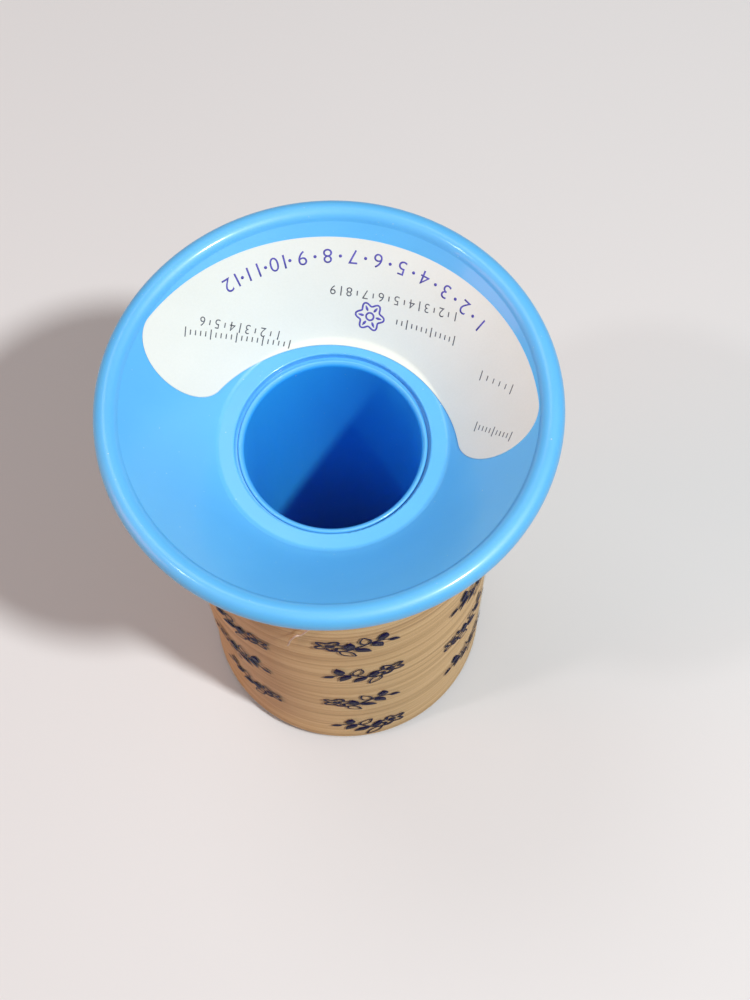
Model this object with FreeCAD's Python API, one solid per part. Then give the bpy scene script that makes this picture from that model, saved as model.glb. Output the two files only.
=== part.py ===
import FreeCAD, Part
import math
import os

from FreeCAD import Vector

# A wound spool of sewing thread, standing on the small end of its barrel with the dished flange on top.
# Millimetres, Z up along the barrel, the floor at z = 0.

# Overall
spool_height = 116.0        # floor to the top of the rolled rim
flange_d = 80.0             # across the rolled rim

# Flange
rim_bead_d = 4.3            # thickness of the rolled rim
rim_wall = 1.4              # plastic around the channel under the rolled rim
rim_lip_angle = 55.0        # how far the rim turns under, in degrees below level
crease_rise = 0.6           # web meets the rim this far above the rim's middle
crease_fillet_r = 0.5       # soft inner corner where the web meets the rim
hub_depth = 15.45           # flat hub face below the rim's middle
hub_face_d = 41.6           # outer edge of the flat hub face
hub_thickness = 2.4
web_wall = 1.6
hub_corner_r = 1.2          # where the flat hub face turns up into the web
groove_d = 35.2             # shallow groove in the hub face around the barrel
groove_depth = 1.5
groove_edge_r = 0.3

# Barrel
bore_d = 32.0               # hole that goes over a spool pin or cone holder
barrel_wall = 1.1
barrel_fit = 0.05           # radial clearance between the barrel and the hub
lip_drop = 0.9              # barrel's upper end below the flat hub face
lip_inner_r = 1.3           # wide round from the bore over the upper end
lip_outer_r = 0.35
shoulder_width = 2.2        # ring on the barrel that the hub seats on
shoulder_height = 1.2
foot_width = 2.1            # ring at the small end that holds the thread up
foot_height = 1.8
foot_edge_r = 0.5
bore_chamfer = 0.4

# Wound thread
package_d = 61.6            # across the wrapped package
winding_gap = 0.3           # thread to the flange above it
thread_gap = 0.15           # thread to the barrel and to the foot ring
core_bottom_r = 1.9
core_top_r = 0.8
strand_d = 1.2              # neighbouring turns lie together in strands this thick
strand_gap = 0.1            # between the strand and the layers under it
turn_count = 20
turns_bottom = 5.2          # first turn above the floor
turns_top_gap = 4.5         # last turn below the package's upper edge
turns_azimuth = 90.0        # where the strand starts and ends, in degrees from +X
bend_radius = 1.6           # where the strand turns in under the layers
pocket_clearance = 0.2

# Clear film around the package
film_thickness = 0.15
film_gap = 0.1
film_top_gap = 12.5         # film's upper edge below the package's, where the turns lie bare
film_corner_r = 2.2
film_hole_d = 44.0          # opening that the film leaves under the package

# Loose thread end
thread_d = 0.35
tail_arc_share = 0.45       # how much of the shorter run each bend takes up
tail_route = [
    (-4.60, -28.98, 102.58),
    (-4.74, -29.92, 102.62),
    (-4.93, -31.10, 102.26),
    (-5.06, -31.58, 101.20),
    (-5.02, -31.78, 98.90),
    (-5.62, -31.42, 94.30),
    (-6.34, -31.50, 89.20),
    (-7.60, -30.72, 85.10),
    (-8.96, -30.56, 82.05),
    (-9.95, -30.02, 80.20),
    (-11.20, -29.74, 77.70),
    (-12.16, -29.20, 74.90),
    (-12.40, -28.96, 72.30),
]

# Paper label on the flange
label_thickness = 0.16
label_gap = 0.04
label_azimuth = 70.2        # middle of the label, in degrees from +X
label_half_angle = 77.1     # from the middle to the centre of each round end
label_end_r = 6.6           # radius of each round end
label_end_gap = 0.25        # round ends to the crease at the rim
label_outer_gap = 2.15      # outer edge to the crease, at the label's middle
label_inner_gap = 1.65      # inner edge to the groove, at the label's middle

# Working values
same_place = 1e-6           # points closer than this are one point
along_limit = 6             # diameters along a path within which two points count as neighbours
search_reach = 8            # diameters within which a gap is looked for

# Sizes that follow from the ones above
flange_r = flange_d / 2
bead_r = rim_bead_d / 2
rim_centre_r = flange_r - bead_r
rim_z = spool_height - bead_r
crease_r = rim_centre_r - math.sqrt(bead_r ** 2 - crease_rise ** 2)
crease_z = rim_z + crease_rise
hub_face_r = hub_face_d / 2
hub_face_z = rim_z - hub_depth
hub_bottom_z = hub_face_z - hub_thickness
web_angle = math.atan2(crease_z - hub_face_z, crease_r - hub_face_r)
web_tan = math.tan(web_angle)
bore_r = bore_d / 2
barrel_r = bore_r + barrel_wall
barrel_top_z = hub_face_z - lip_drop
hub_bore_r = barrel_r + barrel_fit
package_r = package_d / 2
film_inner_r = package_r - film_thickness
core_r = film_inner_r - film_gap - strand_d - strand_gap
core_inner_r = barrel_r + thread_gap
core_bottom_z = foot_height + thread_gap
film_bottom_z = core_bottom_z - film_gap - film_thickness
strand_path_r = core_r + strand_gap + strand_d / 2
label_end_centre_r = crease_r - label_end_gap - label_end_r
label_outer_r = crease_r - label_outer_gap
label_inner_r = groove_d / 2 + label_inner_gap
origin = Vector(0, 0, 0)
up = Vector(0, 0, 1)


def web_z(r, offset=0.0):
    """Height of the web's upper surface at radius r, moved by offset square to the surface."""
    return hub_face_z + (r - hub_face_r) * web_tan + offset / math.cos(web_angle)


def web_r(z, offset=0.0):
    """Radius at which the web's upper surface, moved by offset, reaches height z."""
    return hub_face_r + (z - hub_face_z - offset / math.cos(web_angle)) / web_tan


core_top_z = web_z(core_r, -web_wall - winding_gap)
turns_top_z = core_top_z - turns_top_gap


def rounded(before, corner, after, radius):
    """The arc that rounds a corner: where it starts, a point on it and where it ends."""
    to_before = (Vector(*before, 0) - Vector(*corner, 0)).normalize()
    to_after = (Vector(*after, 0) - Vector(*corner, 0)).normalize()
    half = to_before.getAngle(to_after) / 2
    reach = radius / math.tan(half)
    corner_point = Vector(*corner, 0)
    start = corner_point + to_before * reach
    end = corner_point + to_after * reach
    middle = (to_before + to_after).normalize()
    on_arc = corner_point + middle * (radius / math.sin(half) - radius)
    return (start.x, start.y), (on_arc.x, on_arc.y), (end.x, end.y)


def outline(corners, closed=True):
    """Edges in the XZ plane through corners, each (r, z) or (r, z, corner radius)."""
    count = len(corners)
    spans = []
    for i, corner in enumerate(corners):
        point = corner[:2]
        radius = corner[2] if len(corner) > 2 else 0.0
        if radius > 0:
            spans.append(rounded(corners[i - 1][:2], point, corners[(i + 1) % count][:2], radius))
        else:
            spans.append((point, None, point))
    edges = []
    for i, (start, on_arc, end) in enumerate(spans):
        if on_arc:
            edges.append(Part.Arc(flat(start), flat(on_arc), flat(end)).toShape())
        following = spans[(i + 1) % count][0]
        last = i + 1 == count
        if (closed or not last) and (flat(end) - flat(following)).Length > same_place:
            edges.append(Part.LineSegment(flat(end), flat(following)).toShape())
    return edges


def flat(point):
    """A point (r, z) of a section, in the XZ plane."""
    return Vector(point[0], 0, point[1])


def turned(edges):
    """The solid that a closed section sweeps around the spool's axis."""
    face = Part.Face(Part.Wire(Part.__sortEdges__(edges)))
    return face.revolve(origin, up, 360)


def soften(solid, corner, radius):
    """A turned solid with one of its round edges, the one through a corner of the section, rounded."""
    place = flat(corner)
    edge = [e for e in solid.Edges if e.Closed and (e.Vertexes[0].Point - place).Length < same_place]
    return solid.makeFillet(radius, edge)


def rim_point(radius, degrees):
    """A point of the rolled rim's section, at an angle from level outward."""
    angle = math.radians(degrees)
    return (rim_centre_r + radius * math.cos(angle), rim_z + radius * math.sin(angle))


def base_flange():
    """Dished flange: flat hub around the barrel, conical web and a rolled rim that turns under."""
    channel_r = bead_r - rim_wall
    channel_side_r = rim_centre_r - channel_r
    crease = (crease_r, crease_z)
    channel_foot = (channel_side_r, web_z(channel_side_r, -web_wall))
    edges = outline([
        crease,
        (hub_face_r, hub_face_z, hub_corner_r),
        (groove_d / 2, hub_face_z, groove_edge_r),
        (groove_d / 2, hub_face_z - groove_depth),
        (hub_bore_r, hub_face_z - groove_depth),
        (hub_bore_r, hub_bottom_z),
        (web_r(hub_bottom_z, -web_wall), hub_bottom_z),
        channel_foot,
    ], closed=False)
    lip_end = flat(rim_point(bead_r, -rim_lip_angle))
    channel_end = flat(rim_point(channel_r, -rim_lip_angle))
    rim_out = flat(rim_point(bead_r, 0))
    channel_out = flat(rim_point(channel_r, 0))
    channel_in = flat(rim_point(channel_r, 180))
    edges += [
        Part.Arc(flat(crease), flat(rim_point(bead_r, 90)), rim_out).toShape(),
        Part.Arc(rim_out, flat(rim_point(bead_r, -rim_lip_angle / 2)), lip_end).toShape(),
        Part.LineSegment(lip_end, channel_end).toShape(),
        Part.Arc(channel_end, flat(rim_point(channel_r, -rim_lip_angle / 2)), channel_out).toShape(),
        Part.Arc(channel_out, flat(rim_point(channel_r, 90)), channel_in).toShape(),
        Part.LineSegment(channel_in, flat(channel_foot)).toShape(),
    ]
    return soften(turned(edges), crease, crease_fillet_r)


def spool_barrel():
    """Straight tube with a foot ring at the small end, a shoulder for the hub and a rounded upper lip."""
    lip_z = barrel_top_z - lip_inner_r
    lip_centre_r = bore_r + lip_inner_r
    lip_end_angle = math.acos((barrel_wall - lip_inner_r) / lip_inner_r)
    middle_angle = (math.pi + lip_end_angle) / 2
    lip_end = (barrel_r, lip_z + lip_inner_r * math.sin(lip_end_angle))
    on_lip = (lip_centre_r + lip_inner_r * math.cos(middle_angle), lip_z + lip_inner_r * math.sin(middle_angle))
    edges = outline([
        (bore_r, lip_z),
        (bore_r, bore_chamfer),
        (bore_r + bore_chamfer, 0),
        (barrel_r + foot_width, 0, foot_edge_r),
        (barrel_r + foot_width, foot_height, foot_edge_r),
        (barrel_r, foot_height),
        (barrel_r, hub_bottom_z - shoulder_height),
        (barrel_r + shoulder_width, hub_bottom_z - shoulder_height),
        (barrel_r + shoulder_width, hub_bottom_z),
        (barrel_r, hub_bottom_z),
        lip_end,
    ], closed=False)
    edges.append(Part.Arc(flat(lip_end), flat(on_lip), flat((bore_r, lip_z))).toShape())
    return soften(turned(edges), lip_end, lip_outer_r)


def thread_core():
    """Wound layers under the outermost turns, with a pocket where each end of the strand comes out."""
    top_z = hub_bottom_z - shoulder_height - winding_gap
    layers = turned(outline([
        (core_inner_r, core_bottom_z),
        (core_r, core_bottom_z, core_bottom_r),
        (core_r, core_top_z, core_top_r),
        (web_r(top_z, -web_wall - winding_gap), top_z),
        (core_inner_r, top_z),
    ]))
    for end_z, turn_angle, way in strand_ends():
        layers = layers.cut(strand_pocket(end_z, turn_angle, way))
    return layers


def around(angle):
    """Unit vectors outward and along the turn at an angle about the axis."""
    outward = Vector(math.cos(angle), math.sin(angle), 0)
    return outward, Vector(-outward.y, outward.x, 0)


def strand_ends():
    """Height and angle of the strand's two ends, and which way along the turns it leaves each."""
    start = math.radians(turns_azimuth)
    return [(turns_bottom, start, 1), (turns_top_z, start + 2 * math.pi * turn_count, -1)]


def strand_pocket(end_z, angle, way):
    """Round pocket in the layers that clears the bend at one end of the strand."""
    outward, along = around(angle)
    emerges = bend_radius - math.sqrt(2 * bend_radius * strand_gap - strand_gap ** 2)
    half_width = (emerges + strand_d / 2) / 2
    floor_r = strand_path_r - bend_radius - strand_d
    centre = outward * floor_r + along * (way * (half_width - strand_d / 2)) + up * end_z
    depth = core_r + strand_d - floor_r
    return Part.makeCylinder(half_width + pocket_clearance, depth, centre, outward)


def helix_point(angle, start_angle, pitch):
    """Point and direction of the outermost turns at an angle about the axis."""
    outward, along = around(angle)
    point = outward * strand_path_r + up * (turns_bottom + pitch * (angle - start_angle) / (2 * math.pi))
    heading = (along * strand_path_r + up * (pitch / (2 * math.pi))).normalize()
    return point, heading


def arc_middle(start, heading, end):
    """Point halfway along the arc that leaves start along heading and reaches end."""
    chord = end - start
    along = Vector(chord).normalize()
    side = (heading - along * heading.dot(along)).normalize()
    bulge = chord.Length / 2 * math.tan(heading.getAngle(chord) / 2)
    return start + chord * 0.5 + side * bulge


def biarc(start, heading, end, end_heading):
    """Two arcs that meet smoothly between two points with given directions."""
    chord = end - start
    both = heading + end_heading
    spread = 2 * (1 - heading.dot(end_heading))
    reach = (math.sqrt(chord.dot(both) ** 2 + spread * chord.dot(chord)) - chord.dot(both)) / spread
    meet = (start + heading * reach + end - end_heading * reach) * 0.5
    first = Part.Arc(start, arc_middle(start, heading, meet), meet)
    second = Part.Arc(meet, arc_middle(end, end_heading * -1, meet), end)
    return [first.toShape(), second.toShape()]


def strand_edges():
    """Path of the outermost turns: out of one pocket, around the package and into the other."""
    (low_z, low_angle, _), (high_z, high_angle, _) = strand_ends()
    pitch = (high_z - low_z) / turn_count
    bend_angle = bend_radius / strand_path_r
    outward, _ = around(low_angle)
    low_bend = outward * (strand_path_r - bend_radius) + up * low_z
    low_end = low_bend - outward * strand_d
    high_bend = outward * (strand_path_r - bend_radius) + up * high_z
    high_end = high_bend - outward * strand_d
    stops = [low_angle + bend_angle]
    stops += [low_angle + math.pi * k for k in range(1, 2 * turn_count)]
    stops += [high_angle - bend_angle]
    places = [helix_point(angle, low_angle, pitch) for angle in stops]
    edges = [Part.LineSegment(low_end, low_bend).toShape()]
    edges += biarc(low_bend, outward, *places[0])
    for before, after in zip(places, places[1:]):
        edges += biarc(*before, *after)
    edges += biarc(*places[-1], high_bend, outward * -1)
    edges.append(Part.LineSegment(high_bend, high_end).toShape())
    return edges, low_end, outward


def tube_along(edges, start, heading, diameter):
    """Round solid of the given diameter along a smooth path."""
    path = Part.Wire(Part.__sortEdges__(edges))
    ring = Part.Wire([Part.Circle(start, heading, diameter / 2).toShape()])
    return path.makePipeShell([ring], True, False)


def least_gap(edges, diameter):
    """Least free distance between stretches of a path that lie a few diameters or more apart along it."""
    apart = along_limit * diameter
    cell = search_reach * diameter
    cells = {}
    run = 0.0
    for edge in edges:
        points = edge.discretize(max(2, math.ceil(edge.Length / diameter) + 1))
        step = edge.Length / (len(points) - 1)
        for i, p in enumerate(points[:-1]):
            key = (round(p.x / cell), round(p.y / cell), round(p.z / cell))
            cells.setdefault(key, []).append((run + i * step, p))
        run += edge.Length
    least = cell
    around_cell = [(a, b, c) for a in (-1, 0, 1) for b in (-1, 0, 1) for c in (-1, 0, 1)]
    for key, members in cells.items():
        for shift in around_cell:
            for far_run, far_point in cells.get(tuple(k + s for k, s in zip(key, shift)), []):
                for near_run, near_point in members:
                    if far_run - near_run > apart:
                        least = min(least, (far_point - near_point).Length)
    return least - diameter


def thread_turns():
    """The outermost turns as one unbroken strand, laid around the package from foot to flange."""
    edges, start, heading = strand_edges()
    length = sum(e.Length for e in edges)
    strand = tube_along(edges, start, heading, strand_d)
    print("strand: %d turns, least gap to itself %.2f mm" % (turn_count, least_gap(edges, strand_d)))
    print("strand: volume %.1f against %.1f" % (strand.Volume, length * math.pi * strand_d ** 2 / 4))
    return strand


def thread_tail():
    """Loose end of the thread, out from under the flange and down the outside of the film."""
    points = [Vector(*p) for p in tail_route]
    edges = []
    here = points[0]
    radii = []
    for before, corner, after in zip(points, points[1:], points[2:]):
        shorter = min((corner - before).Length, (after - corner).Length)
        reach = tail_arc_share * shorter
        enter = corner + (before - corner).normalize() * reach
        leave = corner + (after - corner).normalize() * reach
        turn = (corner - before).getAngle(after - corner)
        radii.append(reach / math.tan(turn / 2))
        middle = arc_middle(enter, (corner - before).normalize(), leave)
        edges.append(Part.LineSegment(here, enter).toShape())
        edges.append(Part.Arc(enter, middle, leave).toShape())
        here = leave
    edges.append(Part.LineSegment(here, points[-1]).toShape())
    length = sum(e.Length for e in edges)
    print("thread end: %.1f mm long, bends of radius %s mm" % (length, ", ".join("%.2f" % r for r in radii)))
    tail = tube_along(edges, points[0], (points[1] - points[0]).normalize(), thread_d)
    print("thread end: volume %.4f against %.4f" % (tail.Volume, length * math.pi * thread_d ** 2 / 4))
    return tail


def film_wrap():
    """Clear film shrunk around the package: open at the top, gathered in under the bottom edge."""
    top_z = core_top_z - film_top_gap
    hole_r = film_hole_d / 2
    return turned(outline([
        (package_r, top_z),
        (package_r, film_bottom_z, film_corner_r),
        (hole_r, film_bottom_z),
        (hole_r, film_bottom_z + film_thickness),
        (film_inner_r, film_bottom_z + film_thickness, film_corner_r - film_thickness),
        (film_inner_r, top_z),
    ]))


def label_outline():
    """Closed edges of the label seen from above: two round ends joined by an outer and an inner arc."""
    half = math.radians(label_half_angle)
    end_along = label_end_centre_r * math.cos(half)
    end_across = label_end_centre_r * math.sin(half)

    def centre_offset(middle_r, side):
        # how far behind the axis an arc is centred, so that it meets the round ends smoothly
        span = middle_r + side * label_end_r
        return (end_along ** 2 + end_across ** 2 - span ** 2) / (2 * (span - end_along))

    outer_back = centre_offset(label_outer_r, -1)
    inner_back = centre_offset(label_inner_r, 1)
    end_centre = Vector(end_along, end_across, 0)
    outer_way = (end_centre - Vector(-outer_back, 0, 0)).normalize()
    inner_way = (Vector(-inner_back, 0, 0) - end_centre).normalize()
    outer_meet = end_centre + outer_way * label_end_r
    inner_meet = end_centre + inner_way * label_end_r
    tip = end_centre + (inner_way + outer_way).normalize() * label_end_r
    if tip.x > end_along:
        tip = end_centre * 2 - tip

    def mirrored(point):
        return Vector(point.x, -point.y, 0)

    return [
        Part.Arc(mirrored(outer_meet), Vector(label_outer_r, 0, 0), outer_meet).toShape(),
        Part.Arc(outer_meet, tip, inner_meet).toShape(),
        Part.Arc(inner_meet, Vector(label_inner_r, 0, 0), mirrored(inner_meet)).toShape(),
        Part.Arc(mirrored(inner_meet), mirrored(tip), mirrored(outer_meet)).toShape(),
    ]


def flange_label():
    """Crescent of paper stuck to the web, its inner edge lapping onto the flat hub face."""
    low = label_gap
    high = label_gap + label_thickness
    reach_r = crease_r + bead_r
    bend = hub_corner_r
    skin = turned(outline([
        (groove_d / 2, hub_face_z + low),
        (web_r(hub_face_z + low, low), hub_face_z + low, bend - low),
        (reach_r, web_z(reach_r, low)),
        (reach_r, web_z(reach_r, high)),
        (web_r(hub_face_z + high, high), hub_face_z + high, bend - high),
        (groove_d / 2, hub_face_z + high),
    ]))
    blank = Part.Face(Part.Wire(Part.__sortEdges__(label_outline()))).extrude(up * spool_height)
    blank.rotate(origin, up, label_azimuth)
    return skin.common(blank)


def save(name, shape):
    """Checks one sub-part and writes it to its own file."""
    solids = shape.Solids
    print("%-14s solids %d valid %s volume %.1f" % (name, len(solids), shape.isValid(), shape.Volume))
    (solids[0] if len(solids) == 1 else Part.Compound(solids)).exportStep("parts/%s.step" % name)


os.makedirs("parts", exist_ok=True)
save("base_flange", base_flange())
save("spool_barrel", spool_barrel())
save("thread_core", thread_core())
save("thread_turns", thread_turns())
save("thread_tail", thread_tail())
save("film_wrap", film_wrap())
save("flange_label", flange_label())
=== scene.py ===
import math
import random

import bpy
import numpy as np
from mathutils import Matrix, Vector
from mathutils.bvhtree import BVHTree


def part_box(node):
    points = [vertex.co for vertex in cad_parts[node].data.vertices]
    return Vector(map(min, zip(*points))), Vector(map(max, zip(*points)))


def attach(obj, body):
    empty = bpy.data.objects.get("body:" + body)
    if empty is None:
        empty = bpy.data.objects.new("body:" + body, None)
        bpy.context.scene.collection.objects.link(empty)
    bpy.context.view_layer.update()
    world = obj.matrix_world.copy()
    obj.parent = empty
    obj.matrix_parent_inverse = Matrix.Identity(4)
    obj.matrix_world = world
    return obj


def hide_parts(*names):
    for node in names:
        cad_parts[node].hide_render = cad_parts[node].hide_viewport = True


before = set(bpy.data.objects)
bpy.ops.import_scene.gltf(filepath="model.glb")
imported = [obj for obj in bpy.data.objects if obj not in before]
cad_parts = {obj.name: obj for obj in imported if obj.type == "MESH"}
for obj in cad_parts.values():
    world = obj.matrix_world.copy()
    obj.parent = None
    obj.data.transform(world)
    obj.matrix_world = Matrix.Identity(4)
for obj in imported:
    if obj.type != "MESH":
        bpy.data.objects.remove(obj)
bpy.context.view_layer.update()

# A spool of sewing thread: a plastic barrel with a dished flange, thread wound on it under printed
# clear film, a crescent label on the flange and a loose thread end. Metres, Z up, floor at z = 0.

MM = 0.001
BODY = "root"

# Camera, worked out from the ellipses of the flange's rings in a photograph 750 by 1000 pixels
CAMERA_PLACE = (0.0, -0.11231, 0.34644)
CAMERA_RIGHT = (0.9948662, -0.1001365, -0.0146285)
CAMERA_DOWN = (-0.0982955, -0.9217897, -0.3750223)
CAMERA_LENS = 54.72
CAMERA_SENSOR = 36.0

# Lamps: where each stands around the spool, its height angle, width, power and colour
WHITE = (1.0, 1.0, 1.0)
WARM = (1.0, 0.36, 0.22)
LAMP_DISTANCE = 0.9
LAMPS = {
    "lamp_right": {"azimuth": -38.5, "elevation": 58.5, "width": 0.07, "power": 6.9, "colour": WHITE},
    "lamp_left": {"azimuth": -163.5, "elevation": 55.0, "width": 0.06, "power": 0.85, "colour": WHITE},
    "lamp_back": {"azimuth": 125.0, "elevation": 66.0, "width": 0.4, "power": 1.1, "colour": WHITE},
    "lamp_low": {"azimuth": -172.0, "elevation": 14.0, "width": 0.5, "power": 2.1, "colour": WARM},
}
LAMP_AIM = Vector((0.0, 0.0, 0.1))
SKY_COLOUR = (0.985, 0.99, 1.0, 1.0)
SKY_STRENGTH = 0.2
FLOOR_WIDTH = 6.0

# Wound thread
THREAD_PITCH = 0.42 * MM          # one turn to the next
THREAD_RIDGE = 0.1 * MM           # how far a turn stands up from the groove beside it
THREAD_ROUND = [(0.0, 0.0), (0.14, 0.72), (0.5, 1.0), (0.86, 0.72)]
THREAD_COLUMNS = 240              # steps around one turn
THREAD_START_R = 19.6 * MM        # innermost turn that shows under the package
THREAD_FOOT_ROUND = 1.2 * MM
THREAD_TOP_ROUND = 0.8 * MM
THREAD_TOP_TURN = math.radians(60)  # how far its upper corner turns inward
THREAD_SWELL = 0.05 * MM          # slow unevenness of the whole package
DIP_DEPTH = 10 * MM               # recess in the middle of the package's upper end
DIP_MARGIN = 9 * MM
VALLEY_SPACING = (1.5 * MM, 2.6 * MM)
VALLEY_DEPTH = (0.03 * MM, 0.12 * MM)
VALLEY_WIDTH = (0.3 * MM, 0.7 * MM)
VALLEY_WANDER = (0.35 * MM, 0.15 * MM)
FOOT_SWELL = 0.95 * MM            # how far the package's foot bulges on its left near side
FOOT_SWELL_AZIMUTH = math.radians(225)
FOOT_SWELL_HEIGHT = 8.0 * MM

# Barrel's bore, whose wall is painted a deeper blue up to the round of its lip: painted shade for the dim,
# blue-tinged light deep in the bore
BORE_RADIUS = 16.0 * MM
BORE_EDGE = 0.35 * MM

# Clear film
FILM_COLUMNS = 288
FILM_FOOT_ROUND = 1.3 * MM
FILM_SKIN = 0.05 * MM             # its thickness
FILM_HOLE_R = 22.0 * MM           # opening of its gathered foot
FILM_FOOT_ROWS = 34
FILM_SIDE_ROWS = 100
FILM_WAVE = 0.04 * MM
FILM_GATHER = 0.55 * MM           # height of the pleats under the foot
FILM_TOP_BAND = 3 * MM            # band under the upper edge that waves
FILM_TOP_WAVE = 0.45 * MM
CREASES = 34

# Printed marks
INK_LIFT = 0.012 * MM             # how far ink stands off what it is printed on
MOTIF_COLUMNS = 7
MOTIF_ROW_PITCH = 20.5 * MM
MOTIF_FOOT = 9.0 * MM             # the lowest row above the film's foot
MOTIF_HEAD = 5.0 * MM             # room left under the film's upper edge
SPRIG_REACH = 5.6 * MM
SPRIG_BEND = 2.2 * MM
STEM_WIDTH = (0.75, 0.45)         # at its two ends, in millimetres
LEAF_LENGTH = (4.0, 4.9)          # in millimetres
LEAF_WIDTH = 2.1 * MM
LEAF_TIP = 0.12 * MM
LEAF_EDGE = 0.42 * MM             # stroke of a leaf that isn't filled
MOTIF_TILT = 0.12
# Leaves of a sprig: the stem's point that each grows from, its angle and whether it is filled
SPRIG_LEAVES = [
    (5, -0.9, False),
    (9, 1.7, True),
    (12, -0.7, True),
    (17, 1.9, False),
    (20, -1.0, True),
    (24, 1.5, True),
]

# Label print: a scale of figures along its outer edge, short rules and a flower. Plan radii and azimuths.
LABEL_SLOPE = math.cos(math.radians(46.97))
SCALE_RADIUS = 31.3 * MM
SCALE_AZIMUTHS = (27.0, 119.0)
SCALE_FIGURES = 12
SCALE_HEIGHT = 2.8 * MM
SCALE_DOT_R = 0.3 * MM
FIGURE_SIZE = 1.37                # font size for a figure one unit tall
FIGURE_THINNING = 0.006
ROW_HEIGHT = 1.8 * MM
RULE_WIDTH = 0.22 * MM
# Rows: the right end, the left end, the count of marks and whether every other one is a figure
LABEL_ROWS = [
    ((29.6 * MM, 36.0), (27.0 * MM, 84.0), 17, True),
    ((27.2 * MM, 31.0), (24.6 * MM, 56.0), 13, False),
    ((22.6 * MM, 110.5), (29.8 * MM, 134.5), 11, True),
    ((20.9 * MM, 107.0), (30.6 * MM, 141.5), 21, False),
    ((31.6 * MM, 2.0), (27.9 * MM, 13.0), 6, False),
    ((31.2 * MM, -14.0), (25.4 * MM, -5.0), 11, False),
]
FLOWER_RADIUS = 24.1 * MM
FLOWER_AZIMUTH = 68.0
FLOWER_PETALS = 6
FLOWER_OUTER_R = 2.3 * MM
FLOWER_EYE_R = 0.7 * MM
FLOWER_STROKE = 0.34 * MM

# Loose thread end: its route in millimetres, thickness and length
TAIL_ROUTE_MM = [
    (-4.60, -28.98, 102.58),
    (-4.74, -29.92, 102.62),
    (-4.93, -31.10, 102.26),
    (-5.06, -31.58, 101.20),
    (-5.02, -31.78, 98.90),
    (-5.62, -31.42, 94.30),
    (-6.34, -31.30, 89.80),
    (-7.20, -30.62, 86.30),
    (-8.20, -30.42, 84.00),
    (-9.20, -30.08, 80.90),
    (-10.10, -29.86, 80.50),
    (-10.80, -29.62, 78.30),
    (-11.55, -29.34, 75.90),
    (-11.72, -29.24, 73.90),
    (-12.10, -29.04, 72.30),
]
TAIL_THICKNESS = 0.35 * MM


def srgb(red, green, blue):
    """A colour given as display values from 0 to 255, as the shaders take it."""
    def linear(value):
        value /= 255
        return value / 12.92 if value <= 0.04045 else ((value + 0.055) / 1.055) ** 2.4
    return (linear(red), linear(green), linear(blue), 1.0)


FLOOR_COLOUR = srgb(226, 226, 226)
FLOOR_BOUNCE = srgb(112, 110, 107)
PLASTIC_TONES = (srgb(86, 183, 244), srgb(96, 191, 250))
# painted shade: the deeper blue of the bore's wall
BORE_SHADE_BLUE = srgb(44, 176, 252)
DUST_COLOUR = srgb(214, 228, 240)
PAPER_TONES = (srgb(226, 229, 221), srgb(234, 236, 228))
TAN_TONES = (srgb(226, 190, 137), srgb(239, 207, 157), srgb(184, 144, 97))
PALE_TONES = (srgb(236, 218, 200), srgb(248, 234, 220), srgb(214, 190, 168))
NAVY_TONES = (srgb(9, 7, 38), srgb(24, 18, 76))
VIOLET_TONES = (srgb(84, 77, 168), srgb(102, 96, 188))
GREY_TONES = (srgb(80, 83, 92), srgb(104, 107, 114))


def fill(tree, socket, value):
    """Gives a socket a number or colour, or links another socket to it."""
    if isinstance(value, bpy.types.NodeSocket):
        tree.links.new(value, socket)
    else:
        socket.default_value = value


def node(tree, kind, inputs=None, **settings):
    """A new shader node with its settings and inputs."""
    made = tree.nodes.new("ShaderNode" + kind)
    for key, value in settings.items():
        setattr(made, key, value)
    for key, value in (inputs or {}).items():
        fill(tree, made.inputs[key], value)
    return made


def maths(tree, operation, *values):
    """Result of a maths node on sockets or numbers."""
    return node(tree, "Math", dict(enumerate(values)), operation=operation).outputs[0]


def blank_material(name):
    """A new material with an empty node tree, and that tree."""
    made = bpy.data.materials.new(name)
    made.use_nodes = True
    made.node_tree.nodes.clear()
    return made, made.node_tree


def finish_material(tree, shader):
    """Connects the last shader to the material's output."""
    output = node(tree, "OutputMaterial")
    tree.links.new(shader, output.inputs["Surface"])


def stretched(tree, scale=(1.0, 1.0, 1.0)):
    """Object coordinates, scaled apart along the three axes."""
    coords = node(tree, "TexCoord").outputs["Object"]
    return node(tree, "Mapping", {"Vector": coords, "Scale": scale}).outputs[0]


def noise(tree, vector, scale, detail=2.0, roughness=0.5):
    """Noise from 0 to 1."""
    inputs = {"Vector": vector, "Scale": scale, "Detail": detail, "Roughness": roughness}
    return node(tree, "TexNoise", inputs).outputs[0]


def ramp(tree, factor, stops):
    """A colour ramp through (place, colour) stops."""
    made = node(tree, "ValToRGB", {"Fac": factor})
    bar = made.color_ramp.elements
    while len(bar) < len(stops):
        bar.new(0.5)
    for element, (place, colour) in zip(bar, stops):
        element.position = place
        element.color = colour
    return made.outputs["Color"]


def between(tree, value, low, high):
    """A value from 0 to 1 stretched to run from low to high."""
    made = node(tree, "MapRange", {"Value": value, "To Min": low, "To Max": high})
    return made.outputs[0]


def mixed(tree, factor, first, second, blend="MIX"):
    """Two colours mixed."""
    made = node(tree, "Mix", data_type="RGBA", blend_type=blend)
    fill(tree, made.inputs[0], factor)
    fill(tree, made.inputs[6], first)
    fill(tree, made.inputs[7], second)
    return made.outputs[2]


def bump(tree, height, strength, distance):
    """Normals for a height."""
    return node(tree, "Bump", {"Height": height, "Strength": strength, "Distance": distance}).outputs[0]


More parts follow.
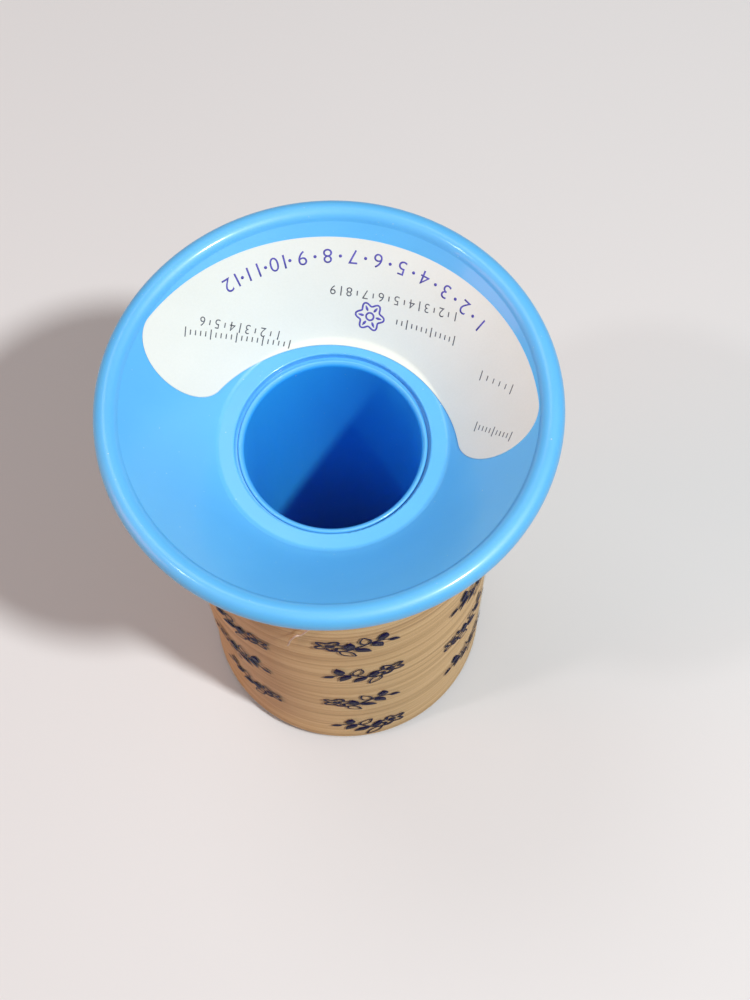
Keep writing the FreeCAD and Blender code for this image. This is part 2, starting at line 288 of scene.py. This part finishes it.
def blue_plastic(name, bore_painted_shade=False):
    """Moulded light blue plastic with scuffs and dust; with the bore flag set, the bore's wall gets painted
    shade, a deeper blue.
    """
    made, tree = blank_material(name)
    coords = stretched(tree)
    cloud = noise(tree, coords, 45.0, 3.0)
    colour = ramp(tree, cloud, [(0.3, PLASTIC_TONES[0]), (0.7, PLASTIC_TONES[1])])
    # Painted shade: inside the bore's radius the wall takes the deeper blue, fading out over the lip's edge
    if bore_painted_shade:
        plan = stretched(tree, (1.0, 1.0, 0.0))
        radius = node(tree, "VectorMath", {0: plan}, operation="LENGTH").outputs["Value"]
        limits = {"From Min": BORE_RADIUS, "From Max": BORE_RADIUS + BORE_EDGE}
        outside = node(tree, "MapRange", {"Value": radius, **limits}).outputs[0]
        colour = mixed(tree, outside, BORE_SHADE_BLUE, colour)
    dust = noise(tree, coords, 1700.0, 1.0)
    dust = maths(tree, "MULTIPLY", maths(tree, "SUBTRACT", dust, 0.765), 9.0)
    dust = node(tree, "Clamp", {"Value": dust}).outputs[0]
    colour = mixed(tree, dust, colour, DUST_COLOUR)
    scuff = noise(tree, stretched(tree, (1.0, 6.0, 1.0)), 240.0, 5.0, 0.65)
    grain = noise(tree, coords, 900.0, 2.0)
    wave = noise(tree, coords, 70.0, 1.0)
    height = maths(tree, "ADD", maths(tree, "MULTIPLY", grain, 0.05), wave)
    shader = node(tree, "BsdfPrincipled", {
        "Base Color": colour,
        "Roughness": between(tree, scuff, 0.44, 0.56),
        "IOR": 1.49,
        "Specular IOR Level": 0.9,
        "Coat Weight": 0.5,
        "Coat Roughness": 0.14,
        "Subsurface Weight": 0.12,
        "Subsurface Radius": (0.4, 0.9, 1.6),
        "Subsurface Scale": 0.0012,
        "Normal": bump(tree, height, 0.35, 0.05 * MM),
    })
    finish_material(tree, shader.outputs[0])
    return made


def thread_material(name, base, pale, deep):
    """Spun thread: soft streaks along the turns, painted shade in the grooves and a fibrous bump."""
    made, tree = blank_material(name)
    fine = noise(tree, stretched(tree, (26.0, 26.0, 2300.0)), 1.0, 3.0, 0.6)
    bands = noise(tree, stretched(tree, (7.0, 7.0, 330.0)), 1.0, 3.0, 0.55)
    tone = maths(tree, "ADD", maths(tree, "MULTIPLY", fine, 0.45), maths(tree, "MULTIPLY", bands, 0.55))
    colour = ramp(tree, tone, [(0.32, deep), (0.5, base), (0.68, pale)])
    # Painted shade: the colour darkens towards the deep tone by the mesh's groove attribute, in the valleys
    # and between turns
    groove = node(tree, "Attribute", attribute_name="groove").outputs["Fac"]
    colour = mixed(tree, groove, colour, mixed(tree, 0.6, colour, deep, "MULTIPLY"))
    fibre = noise(tree, stretched(tree, (420.0, 420.0, 2600.0)), 1.0, 4.0, 0.7)
    shader = node(tree, "BsdfPrincipled", {
        "Base Color": colour,
        "Roughness": 0.82,
        "Specular IOR Level": 0.3,
        "Sheen Weight": 0.12,
        "Sheen Roughness": 0.45,
        "Sheen Tint": (1.0, 0.86, 0.68, 1.0),
        "Normal": bump(tree, fibre, 0.5, 0.06 * MM),
    })
    finish_material(tree, shader.outputs[0])
    return made


def film_material():
    """Thin clear film: nearly all see-through, with a soft gloss that grows towards the edges."""
    made, tree = blank_material("clear_film")
    crease = noise(tree, stretched(tree, (1.0, 1.0, 0.35)), 120.0, 4.0, 0.6)
    normal = bump(tree, crease, 0.5, 0.12 * MM)
    haze = noise(tree, stretched(tree), 55.0, 3.0)
    gloss = node(tree, "BsdfGlossy", {"Color": (0.97, 0.98, 1.0, 1.0), "Roughness": 0.13, "Normal": normal})
    milk = node(tree, "BsdfDiffuse", {"Color": (0.9, 0.92, 0.95, 1.0), "Normal": normal})
    clear = node(tree, "BsdfTransparent", {"Color": (0.995, 0.995, 0.99, 1.0)})
    veil = between(tree, haze, 0.0, 0.012)
    inner = node(tree, "MixShader", {0: veil, 1: clear.outputs[0], 2: milk.outputs[0]})
    facing = node(tree, "LayerWeight", {"Blend": 0.5, "Normal": normal}).outputs["Facing"]
    edge = maths(tree, "POWER", facing, 5.0)
    share = between(tree, edge, 0.005, 0.07)
    shader = node(tree, "MixShader", {0: share, 1: inner.outputs[0], 2: gloss.outputs[0]})
    finish_material(tree, shader.outputs[0])
    return made


def paper_material():
    """Smooth white label paper: faint fibres, a slight sheen and small dimples."""
    made, tree = blank_material("label_paper")
    coords = stretched(tree)
    fibres = noise(tree, coords, 2600.0, 4.0, 0.6)
    cloud = noise(tree, coords, 60.0, 2.0)
    tone = maths(tree, "ADD", maths(tree, "MULTIPLY", fibres, 0.4), maths(tree, "MULTIPLY", cloud, 0.6))
    colour = ramp(tree, tone, [(0.3, PAPER_TONES[0]), (0.7, PAPER_TONES[1])])
    dimple = noise(tree, coords, 160.0, 1.0)
    height = maths(tree, "ADD", maths(tree, "MULTIPLY", fibres, 0.12), dimple)
    shader = node(tree, "BsdfPrincipled", {
        "Base Color": colour,
        "Roughness": 0.5,
        "Specular IOR Level": 0.2,
        "Normal": bump(tree, height, 0.3, 0.06 * MM),
    })
    finish_material(tree, shader.outputs[0])
    return made


def ink_material(name, dark, light, gloss=0.25):
    """Printing ink, patchy between two tones."""
    made, tree = blank_material(name)
    patch = noise(tree, stretched(tree), 1500.0, 3.0, 0.6)
    colour = ramp(tree, patch, [(0.35, dark), (0.65, light)])
    inputs = {"Base Color": colour, "Roughness": 0.5, "Specular IOR Level": gloss}
    finish_material(tree, node(tree, "BsdfPrincipled", inputs).outputs[0])
    return made


def stage_material(name, colour, bounce):
    """Plain matt surface, pale where it is seen and darker in the light that it throws back."""
    made, tree = blank_material(name)
    cloud = noise(tree, stretched(tree), 3.0, 2.0)
    darker = tuple(0.97 * part for part in colour[:3]) + (1.0,)
    tone = ramp(tree, cloud, [(0.3, darker), (0.7, colour)])
    path = node(tree, "LightPath").outputs
    seen = maths(tree, "MAXIMUM", path["Is Camera Ray"], path["Is Glossy Ray"])
    seen = maths(tree, "MAXIMUM", seen, path["Is Transmission Ray"])
    tone = mixed(tree, seen, bounce, tone)
    shader = node(tree, "BsdfPrincipled", {"Base Color": tone, "Roughness": 0.9})
    finish_material(tree, shader.outputs[0])
    return made


def mesh_object(name, vertices, faces, material):
    """A new smooth mesh object at the origin."""
    mesh = bpy.data.meshes.new(name)
    mesh.from_pydata(vertices, [], faces)
    mesh.materials.append(material)
    mesh.polygons.foreach_set("use_smooth", [True] * len(mesh.polygons))
    mesh.update()
    made = bpy.data.objects.new(name, mesh)
    bpy.context.collection.objects.link(made)
    return made


def set_camera():
    """Camera at the photograph's place and angle."""
    data = bpy.data.cameras.new("camera")
    data.lens = CAMERA_LENS
    data.sensor_width = CAMERA_SENSOR
    data.clip_start = 0.01
    made = bpy.data.objects.new("camera", data)
    right = Vector(CAMERA_RIGHT)
    down = Vector(CAMERA_DOWN)
    backward = down.cross(right)
    turn = Matrix((right, -down, backward)).transposed()
    made.matrix_world = Matrix.Translation(CAMERA_PLACE) @ turn.to_4x4()
    bpy.context.collection.objects.link(made)
    bpy.context.scene.camera = made


def set_lamps():
    """Two lamps above, a soft one behind, a low warm one on the left and an even pale sky."""
    for name, lamp in LAMPS.items():
        around = math.radians(lamp["azimuth"])
        above = math.radians(lamp["elevation"])
        flat = math.cos(above)
        way = Vector((math.cos(around) * flat, math.sin(around) * flat, math.sin(above)))
        data = bpy.data.lights.new(name, "AREA")
        data.shape = "DISK"
        data.size = lamp["width"]
        data.energy = lamp["power"]
        data.color = lamp["colour"]
        made = bpy.data.objects.new(name, data)
        made.location = LAMP_AIM + way * LAMP_DISTANCE
        made.rotation_euler = (-way).to_track_quat("-Z", "Y").to_euler()
        bpy.context.collection.objects.link(made)
    world = bpy.data.worlds.new("sky")
    world.use_nodes = True
    background = world.node_tree.nodes["Background"]
    background.inputs["Color"].default_value = SKY_COLOUR
    background.inputs["Strength"].default_value = SKY_STRENGTH
    bpy.context.scene.world = world


def set_floor():
    """Plain pale floor."""
    half = FLOOR_WIDTH / 2
    corners = [(-half, -half, 0.0), (half, -half, 0.0), (half, half, 0.0), (-half, half, 0.0)]
    paint = stage_material("floor_paint", FLOOR_COLOUR, FLOOR_BOUNCE)
    floor = mesh_object("floor", corners, [(0, 1, 2, 3)], paint)


def loose_thread(material):
    """The loose thread end, hanging down the outside of the film."""
    route = [Vector(point) * MM for point in TAIL_ROUTE_MM]
    curve = bpy.data.curves.new("loose_thread", "CURVE")
    curve.dimensions = "3D"
    spline = curve.splines.new("NURBS")
    spline.points.add(len(route) - 1)
    for point, place in zip(spline.points, route):
        point.co = (*place, 1.0)
    spline.order_u = 3
    spline.use_endpoint_u = True
    spline.resolution_u = 8
    curve.bevel_depth = TAIL_THICKNESS / 2
    curve.bevel_resolution = 3
    curve.use_fill_caps = True
    curve.materials.append(material)
    made = bpy.data.objects.new("loose_thread", curve)
    bpy.context.collection.objects.link(made)
    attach(made, BODY)
    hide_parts("thread_tail")


class Section:
    """A section (r, z) of a turned shape, with the way outward at each point and the distance along it."""

    def __init__(self, points):
        table = np.array(points)
        steps = np.hypot(np.diff(table[:, 0]), np.diff(table[:, 1]))
        self.along = np.concatenate(([0.0], np.cumsum(steps)))
        self.table = table

    @property
    def length(self):
        return self.along[-1]

    def at(self, distance):
        """Arrays r, z, outward r and outward z at distances along the section."""
        return [np.interp(distance, self.along, self.table[:, k]) for k in range(4)]


def arc(middle, radius, first, last, steps):
    """Points of a section along an arc, from one angle below or above level to another, in radians."""
    made = []
    for angle in np.linspace(first, last, steps):
        side = math.cos(angle)
        rise = math.sin(angle)
        made.append((middle[0] + radius * side, middle[1] + radius * rise, side, rise))
    return made


def jacket_section(start_r, bottom, outer, foot_round, top, top_arc=None):
    """Section of a jacket round the barrel: out along the bottom, round the foot corner and up the side."""
    foot = (outer - foot_round, bottom + foot_round)
    points = [(start_r, bottom, 0.0, -1.0)]
    points += arc(foot, foot_round, -math.pi / 2, 0.0, 24)
    if top_arc:
        radius, turn = top_arc
        points += arc((outer - radius, top - radius), radius, 0.0, turn, 12)
    else:
        points.append((outer, top, 1.0, 0.0))
    return Section(points)


def foot_swell(angle, height):
    """How far the package bulges near its foot, at angles from +X and heights."""
    side = (0.5 + 0.5 * np.cos(angle - FOOT_SWELL_AZIMUTH)) ** 2
    return FOOT_SWELL * side * np.exp(-(height / FOOT_SWELL_HEIGHT) ** 2)


def valleys(distance, around, length):
    """How deep the soft grooves between bands of turns are, from 0 to 1 of the deepest."""
    dice = random.Random(11)
    depth = np.zeros_like(distance)
    place = 0.0
    while place < length:
        place += dice.uniform(*VALLEY_SPACING)
        strength = dice.uniform(*VALLEY_DEPTH) / VALLEY_DEPTH[1]
        width = dice.uniform(*VALLEY_WIDTH)
        wave = dice.choice((1, 2))
        first, second, third = (dice.uniform(0.0, math.tau) for _ in range(3))
        wide, narrow = VALLEY_WANDER
        wander = wide * np.sin(around + first) + narrow * np.sin(3 * around + second)
        fade = 0.4 + 0.6 * np.sin(around * wave / 2 + third) ** 2
        depth = np.maximum(depth, strength * fade * np.exp(-((distance - place - wander) / width) ** 2))
    return depth


def rings_between(vertices, section, columns, start):
    """Adds plain rings at (r, z) places to the vertices, and returns the rings' indices and quads."""
    made = []
    for r, z in section:
        base = len(vertices)
        for column in range(columns):
            angle = start + math.tau * column / columns
            vertices.append((r * math.cos(angle), r * math.sin(angle), z))
        made.append(list(range(base, base + columns)))
    quads = []
    for lower, upper in zip(made, made[1:]):
        for column in range(columns):
            following = (column + 1) % columns
            quads.append((lower[column], upper[column], upper[following], lower[following]))
    return made, quads


def wound_thread(material):
    """The whole winding: hundreds of turns of one thread, ridged along a helix, around the barrel."""
    low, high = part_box("thread_core")
    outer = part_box("thread_turns")[1].x - THREAD_RIDGE
    inner_r = min(Vector(v.co[:2]).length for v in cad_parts["thread_core"].data.vertices)
    top_arc = (THREAD_TOP_ROUND, THREAD_TOP_TURN)
    section = jacket_section(THREAD_START_R, low.z, outer, THREAD_FOOT_ROUND, high.z, top_arc)
    columns = THREAD_COLUMNS
    per_turn = len(THREAD_ROUND)
    turns = int(section.length / THREAD_PITCH) - 1
    steps = turns * columns
    start = math.pi / 2
    phases = np.array([phase for phase, _ in THREAD_ROUND])
    rises = np.array([rise for _, rise in THREAD_ROUND])
    whole = np.repeat(np.arange(steps + 1), per_turn)
    distance = THREAD_PITCH * (whole / columns + np.tile(phases, steps + 1))
    rise = np.tile(rises, steps + 1)
    last = np.arange(steps + 1, steps + columns + 1)
    distance = np.concatenate((distance, THREAD_PITCH * last / columns))
    rise = np.concatenate((rise, np.zeros(columns)))
    around = math.tau * np.concatenate((whole, last)) / columns
    groove = valleys(distance, around, section.length)
    swell = THREAD_SWELL * np.sin(distance / (9 * MM)) * np.sin(2 * around + distance / (14 * MM))
    lift = THREAD_RIDGE * rise - VALLEY_DEPTH[1] * groove + swell
    r, z, out_r, out_z = section.at(distance)
    angle = start + around
    r = r + out_r * (lift + foot_swell(angle, z))
    z = z + out_z * lift
    vertices = np.column_stack((r * np.cos(angle), r * np.sin(angle), z)).tolist()

    def ridge(step, k):
        if k == per_turn:
            return ridge(step + columns, 0)
        if step <= steps:
            return step * per_turn + k
        return (steps + 1) * per_turn + step - steps - 1

    faces = []
    for step in range(steps):
        for k in range(per_turn):
            following = step + 1
            faces.append((ridge(step, k), ridge(following, k), ridge(following, k + 1), ridge(step, k + 1)))
    top_r, top_z = r[-1], z[-1]
    inner = [
        (THREAD_START_R - THREAD_RIDGE, low.z),
        (inner_r, low.z),
        (inner_r, high.z - DIP_DEPTH),
        (top_r - DIP_MARGIN, high.z - DIP_DEPTH),
        (top_r - THREAD_RIDGE, top_z - THREAD_RIDGE),
    ]
    rings, quads = rings_between(vertices, inner, columns, start)
    faces += quads
    bottom, top = rings[0], rings[-1]
    for column in range(columns):
        following = (column + 1) % columns
        faces.append((ridge(column + 1, 0), ridge(column, 0), bottom[column], bottom[following]))
        faces.append((ridge(steps + column, 0), ridge(steps + column + 1, 0), top[following], top[column]))
    faces.append([ridge(0, k) for k in range(per_turn + 1)] + [bottom[0]])
    faces.append([ridge(steps, k) for k in range(per_turn, -1, -1)] + [top[0]])
    made = mesh_object("wound_thread", vertices, faces, material)
    # Painted shade for the grooves, darkest in the valleys and in the hollows between turns, which the
    # thread's material reads
    shade = np.zeros(len(vertices), np.float32)
    shade[:len(groove)] = np.clip(0.7 * groove + 0.35 * (1.0 - rise), 0.0, 1.0)
    made.data.attributes.new("groove", "FLOAT", "POINT").data.foreach_set("value", shade)
    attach(made, BODY)
    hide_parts("thread_core", "thread_turns")


def make_creases():
    """Shallow creases of the film: where each is around and up, its slant, length, width and height."""
    dice = random.Random(4)
    low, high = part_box("film_wrap")
    creases = []
    for _ in range(CREASES):
        edge = dice.random()
        if edge < 0.45:
            height = high.z - dice.uniform(0.0, 9.0) * MM
        elif edge < 0.7:
            height = low.z + dice.uniform(2.0, 12.0) * MM
        else:
            height = dice.uniform(low.z, high.z)
        creases.append({
            "around": dice.uniform(0.0, math.tau),
            "height": height,
            "slant": dice.uniform(-0.5, 0.5),
            "length": dice.uniform(5.0, 16.0) * MM,
            "width": dice.uniform(0.5, 1.1) * MM,
            "rise": dice.uniform(0.06, 0.2) * MM,
        })
    return creases


def film_lift(around, height):
    """How far the film stands off the drum that it is wrapped on, at angles and heights."""
    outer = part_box("film_wrap")[1].x
    lift = FILM_WAVE * (1.0 + np.sin(3 * around + height / (11 * MM))) / 2
    lift = lift + foot_swell(around, height)
    for crease in CREASE_LIST:
        across = (around - crease["around"] + math.pi) % math.tau - math.pi
        across = across * outer
        up = height - crease["height"]
        side = across - up * crease["slant"]
        shape = np.exp(-(side / crease["width"]) ** 2 - (up / crease["length"]) ** 2)
        lift = lift + crease["rise"] * shape
    return lift


def film_wrap(material):
    """Clear film shrunk around the package, open at the top and gathered in under the foot."""
    low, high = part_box("film_wrap")
    outer = high.x
    section = jacket_section(FILM_HOLE_R, low.z, outer, FILM_FOOT_ROUND, high.z)
    side_start = section.length - (high.z - low.z - FILM_FOOT_ROUND)
    rows = np.concatenate((
        np.linspace(0.0, side_start, FILM_FOOT_ROWS, endpoint=False),
        np.linspace(side_start, section.length, FILM_SIDE_ROWS),
    ))
    around = math.tau * np.arange(FILM_COLUMNS) / FILM_COLUMNS
    grid_row, grid_around = np.meshgrid(rows, around, indexing="ij")
    r, z, out_r, out_z = section.at(grid_row)
    pleat = np.clip((side_start - grid_row) / side_start, 0.0, 1.0)
    gather = FILM_GATHER * pleat * np.sin(23 * grid_around + 1.7 * np.sin(5 * grid_around)) ** 2
    top_edge = np.clip((grid_row - section.length + FILM_TOP_BAND) / FILM_TOP_BAND, 0.0, 1.0) ** 2
    ripple = np.sin(7 * grid_around) + 0.6 * np.sin(17 * grid_around + 1.0)
    wavy = top_edge * FILM_TOP_WAVE * ripple
    lift = film_lift(grid_around, z) * np.clip(out_r, 0.0, 1.0) + gather
    layers = []
    for depth in (0.0, -FILM_SKIN):
        rr = r + out_r * (lift + depth)
        zz = z + out_z * (lift + depth) + wavy
        layers.append(np.stack((rr * np.cos(grid_around), rr * np.sin(grid_around), zz), axis=-1))
    count = len(rows)
    vertices = np.concatenate([layer.reshape(-1, 3) for layer in layers]).tolist()
    faces = []
    size = count * FILM_COLUMNS
    for column in range(FILM_COLUMNS):
        following = (column + 1) % FILM_COLUMNS
        for row in range(count - 1):
            a = row * FILM_COLUMNS + column
            b = row * FILM_COLUMNS + following
            faces.append((a, b, b + FILM_COLUMNS, a + FILM_COLUMNS))
            faces.append((size + a, size + a + FILM_COLUMNS, size + b + FILM_COLUMNS, size + b))
        faces.append((column, size + column, size + following, following))
        top = (count - 1) * FILM_COLUMNS
        faces.append((top + column, top + following, size + top + following, size + top + column))
    made = mesh_object("clear_film", vertices, faces, material)
    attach(made, BODY)
    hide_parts("film_wrap")


def stroke(points, widths):
    """A flat brush stroke through points (x, y): pairs of points across it and the quads between."""
    points = np.array(points)
    way = np.gradient(points, axis=0)
    way /= np.linalg.norm(way, axis=1)[:, None]
    across = np.column_stack((-way[:, 1], way[:, 0])) * (np.array(widths) / 2)[:, None]
    flat = np.stack((points + across, points - across), axis=1).reshape(-1, 2)
    quads = [(2 * k, 2 * k + 1, 2 * k + 3, 2 * k + 2) for k in range(len(points) - 1)]
    return flat, quads


def ring_stroke(middle, radius, width, petals=0, depth=0.0, steps=36):
    """A closed round or petalled outline."""
    turn = np.linspace(0.0, math.tau, steps + 1)
    reach = radius + depth * np.cos(petals * turn)
    points = np.column_stack((middle[0] + reach * np.cos(turn), middle[1] + reach * np.sin(turn)))
    return stroke(points, np.full(len(points), width))


def leaf(base, angle, length, width, filled=True):
    """A leaf from its base outward, filled or as two thin edges."""
    t = np.linspace(0.0, 1.0, 11)
    way = np.array((math.cos(angle), math.sin(angle)))
    across = np.array((-way[1], way[0]))
    bulge = np.sin(math.pi * t ** 0.8)
    spine = np.array(base) + np.outer(t * length, way)
    if filled:
        return [stroke(spine, LEAF_TIP + width * bulge)]
    edges = [spine + np.outer(side * width / 2 * bulge, across) for side in (-1, 1)]
    return [stroke(edge, np.full(len(t), LEAF_EDGE)) for edge in edges]


def sprig(turned, seed):
    """A flower sprig: a bent stem with leaves and a petalled flower at its end, as flat strokes."""
    dice = random.Random(seed)
    t = np.linspace(-1.0, 1.0, 29)
    stem = np.column_stack((SPRIG_REACH * t, SPRIG_BEND * np.sin(2.4 * t)))
    pieces = [stroke(stem, np.linspace(*STEM_WIDTH, len(t)) * MM)]
    for place, angle, filled in SPRIG_LEAVES:
        length = dice.uniform(*LEAF_LENGTH) * MM
        pieces += leaf(stem[place], angle + dice.uniform(-0.12, 0.12), length, LEAF_WIDTH, filled)
    pieces += leaf(stem[-1], -0.6, 2.8 * MM, 1.5 * MM)
    head = stem[0] + np.array((-0.2 * MM, 2.3 * MM))
    pieces.append(ring_stroke(head, 2.4 * MM, 0.68 * MM, 5, 0.75 * MM, 60))
    pieces.append(ring_stroke(head, 0.55 * MM, 0.95 * MM, steps=16))
    if turned:
        pieces = [(flat * np.array((-1.0, 1.0)), quads) for flat, quads in pieces]
    return pieces


class Ink:
    """Printed marks gathered into one thin mesh."""

    def __init__(self):
        self.vertices = []
        self.faces = []

    def add(self, places, faces):
        """Adds one mark's places and faces."""
        base = len(self.vertices)
        self.vertices += [tuple(place) for place in places]
        self.faces += [tuple(base + k for k in face) for face in faces]

    def finish(self, name, material):
        """Makes the gathered marks an object with a skin, on the spool's body."""
        made = mesh_object(name, self.vertices, self.faces, material)
        skin = made.modifiers.new("thickness", "SOLIDIFY")
        skin.thickness = INK_LIFT / 2
        skin.offset = -1.0
        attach(made, BODY)


def film_print(material):
    """Navy sprigs printed on the film, in staggered rows all round."""
    low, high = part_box("film_wrap")
    outer = high.x
    ink = Ink()
    number = 0
    for column in range(MOTIF_COLUMNS):
        middle = math.tau * (column + 0.3) / MOTIF_COLUMNS
        height = low.z + MOTIF_FOOT + (0.0 if column % 2 else MOTIF_ROW_PITCH / 2)
        while height < high.z - MOTIF_HEAD:
            tilt = MOTIF_TILT * math.sin(2.4 * number)
            cos, sin = math.cos(tilt), math.sin(tilt)
            for flat, quads in sprig(number % 2 == 0, number):
                x = flat[:, 0] * cos - flat[:, 1] * sin
                y = flat[:, 0] * sin + flat[:, 1] * cos
                around = middle + x / outer
                up = height + y
                r = outer + film_lift(around % math.tau, up) + INK_LIFT
                ink.add(np.column_stack((r * np.cos(around), r * np.sin(around), up)), quads)
            number += 1
            height += MOTIF_ROW_PITCH
    ink.finish("film_print", material)


def figure_mesh(text, height):
    """A plain number from Blender's own font as flat points (x, y) about its middle, and its faces."""
    curve = bpy.data.curves.new("figure", "FONT")
    curve.body = text
    curve.size = height * FIGURE_SIZE
    curve.offset = -FIGURE_THINNING * height
    curve.align_x = "CENTER"
    curve.align_y = "CENTER"
    curve.resolution_u = 4
    holder = bpy.data.objects.new("figure", curve)
    bpy.context.collection.objects.link(holder)
    mesh = bpy.data.meshes.new_from_object(holder.evaluated_get(bpy.context.evaluated_depsgraph_get()))
    flat = np.array([vertex.co[:2] for vertex in mesh.vertices])
    faces = [tuple(polygon.vertices) for polygon in mesh.polygons]
    bpy.data.objects.remove(holder)
    bpy.data.curves.remove(curve)
    bpy.data.meshes.remove(mesh)
    return flat - (flat.min(axis=0) + flat.max(axis=0)) / 2, faces


def disc(radius, steps=12):
    """A round dot about its middle."""
    turns = [math.tau * k / steps for k in range(steps)]
    points = [(radius * math.cos(turn), radius * math.sin(turn)) for turn in turns]
    return np.array(points), [tuple(range(steps))]


def bar(width, height, steps=4):
    """An upright bar about its middle, as a flat stroke."""
    points = np.column_stack((np.zeros(steps), np.linspace(-height / 2, height / 2, steps)))
    return stroke(points, np.full(steps, width))


class LabelPress:
    """Prints flat marks on the label as on flat paper that is then bent round the sloping web."""

    def __init__(self):
        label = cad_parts["flange_label"]
        points = [label.matrix_world @ vertex.co for vertex in label.data.vertices]
        faces = [tuple(polygon.vertices) for polygon in label.data.polygons]
        self.tree = BVHTree.FromPolygons(points, faces)
        self.above = Vector((0.0, 0.0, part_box("flange_label")[1].z + 1 * MM))
        self.inks = {"violet": Ink(), "grey": Ink()}

    def paper(self, radius, azimuth):
        """Where a place of the web, at a plan radius and an azimuth in degrees, is on the flat paper."""
        turn = math.radians(azimuth) * LABEL_SLOPE
        return radius / LABEL_SLOPE * np.array((math.cos(turn), math.sin(turn)))

    def press(self, ink, paper, faces):
        """Prints marks that are laid out on the flat paper."""
        places = []
        for x, y in paper:
            turn = math.atan2(y, x) / LABEL_SLOPE
            radius = math.hypot(x, y) * LABEL_SLOPE
            start = Vector((radius * math.cos(turn), radius * math.sin(turn), 0.0)) + self.above
            place, normal, _, _ = self.tree.ray_cast(start, Vector((0.0, 0.0, -1.0)))
            if place is None:
                raise ValueError(f"no label at radius {radius / MM:.1f}, azimuth {math.degrees(turn):.1f}")
            places.append(place + normal * INK_LIFT)
        self.inks[ink].add(places, faces)

    def at(self, ink, radius, azimuth, flat, faces):
        """One mark, upright towards the web's middle."""
        place = self.paper(radius, azimuth)
        inward = -place / np.linalg.norm(place)
        along = np.array((inward[1], -inward[0]))
        self.press(ink, place + np.outer(flat[:, 0], along) + np.outer(flat[:, 1], inward), faces)

    def in_row(self, ink, start, end, share, flat, faces):
        """A mark of a straight row between two (radius, azimuth) places, at a share of its length."""
        first, last = self.paper(*start), self.paper(*end)
        along = (last - first) / np.linalg.norm(last - first)
        inward = np.array((-along[1], along[0]))
        place = first + share * (last - first)
        self.press(ink, place + np.outer(flat[:, 0], along) + np.outer(flat[:, 1], inward), faces)


def label_print():
    """A plain numbered scale around the label, rows of figures and rules, and a small flower."""
    press = LabelPress()
    first, last = SCALE_AZIMUTHS
    step = (last - first) / (SCALE_FIGURES - 1)
    for number in range(SCALE_FIGURES):
        figure = figure_mesh(str(number + 1), SCALE_HEIGHT)
        press.at("violet", SCALE_RADIUS, first + step * number, *figure)
        if number + 1 < SCALE_FIGURES:
            press.at("violet", SCALE_RADIUS, first + step * (number + 0.5), *disc(SCALE_DOT_R))
    for start, end, count, figures in LABEL_ROWS:
        for number in range(count):
            share = number / (count - 1)
            if figures and number % 2 == 0:
                mark = figure_mesh(str(number // 2 + 1), ROW_HEIGHT)
            else:
                mark = bar(RULE_WIDTH, ROW_HEIGHT * (0.5 if number % 5 else 1.0))
            press.in_row("grey", start, end, share, *mark)
    place = (FLOWER_RADIUS, FLOWER_AZIMUTH)
    outline = ring_stroke((0.0, 0.0), FLOWER_OUTER_R, FLOWER_STROKE, FLOWER_PETALS, 0.4 * MM, 60)
    press.at("violet", *place, *outline)
    press.at("violet", *place, *ring_stroke((0.0, 0.0), FLOWER_EYE_R, FLOWER_STROKE))
    for petal in range(FLOWER_PETALS):
        turn = petal * math.tau / FLOWER_PETALS
        root = 1.1 * MM * np.array((math.cos(turn), math.sin(turn)))
        for mark in leaf(root, turn, 1.1 * MM, 0.35 * MM):
            press.at("violet", *place, *mark)
    press.inks["violet"].finish("label_scale", ink_material("violet_ink", *VIOLET_TONES))
    press.inks["grey"].finish("label_rules", ink_material("grey_ink", *GREY_TONES))


CREASE_LIST = make_creases()
tan_thread = thread_material("tan_thread", *TAN_TONES)
pale_thread = thread_material("pale_thread", *PALE_TONES)
navy = ink_material("navy_ink", *NAVY_TONES, 0.06)
set_camera()
set_lamps()
set_floor()
loose_thread(pale_thread)
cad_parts["base_flange"].material_slots[0].material = blue_plastic("flange_plastic")
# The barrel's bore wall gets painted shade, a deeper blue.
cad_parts["spool_barrel"].material_slots[0].material = blue_plastic("barrel_plastic", bore_painted_shade=True)
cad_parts["flange_label"].material_slots[0].material = paper_material()
wound_thread(tan_thread)
film_wrap(film_material())
film_print(navy)
label_print()

bpy.context.scene.view_settings.view_transform = "Standard"
